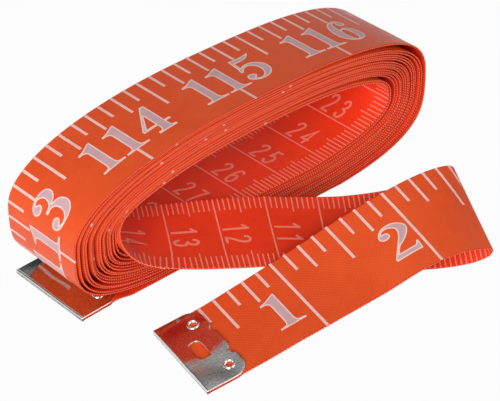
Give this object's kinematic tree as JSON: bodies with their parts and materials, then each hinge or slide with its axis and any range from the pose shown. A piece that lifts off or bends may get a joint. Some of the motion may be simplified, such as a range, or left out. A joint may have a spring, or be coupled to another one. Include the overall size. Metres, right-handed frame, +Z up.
{
  "type": "cloth tape measure",
  "caption": "Soft tape measure wound into a flat oval coil, with its first end folded out in front and a folded steel clip on each end.",
  "frame": {"origin": "middle of the coil's flat underside, on the surface that the part lies on", "axes": "+X along the coil, towards the bend that the end clip isn't under; +Y across the coiled tape, away from the free end; +Z up"},
  "size_m": [0.0913, 0.0636, 0.0304],
  "materials": {
    "tape": "satin",
    "steel": "polished"
  },
  "bodies": {
    "root": {"tape_coil": "tape", "tape_feed": "tape", "tape_fold": "tape"},
    "lead": {"tape_lead": "tape", "start_clip": "steel", "start_near_eyelet": "steel", "start_far_eyelet": "steel"},
    "tail": {"tape_tail": "tape", "end_clip": "steel", "end_near_eyelet": "steel", "end_far_eyelet": "steel"}
  },
  "joints": [
    {"name": "lead_lift", "type": "hinge", "parent": "root", "child": "lead", "pos_m": [0.01796, -0.04336, 0.01307], "axis": [0.4643, 0.8515, 0.2436], "range_deg": [0, 90]},
    {"name": "tail_lift", "type": "hinge", "parent": "root", "child": "tail", "pos_m": [-0.03214, 0, 0.00084], "axis": [0, 1, 0], "range_deg": [0, 5]}
  ]
}
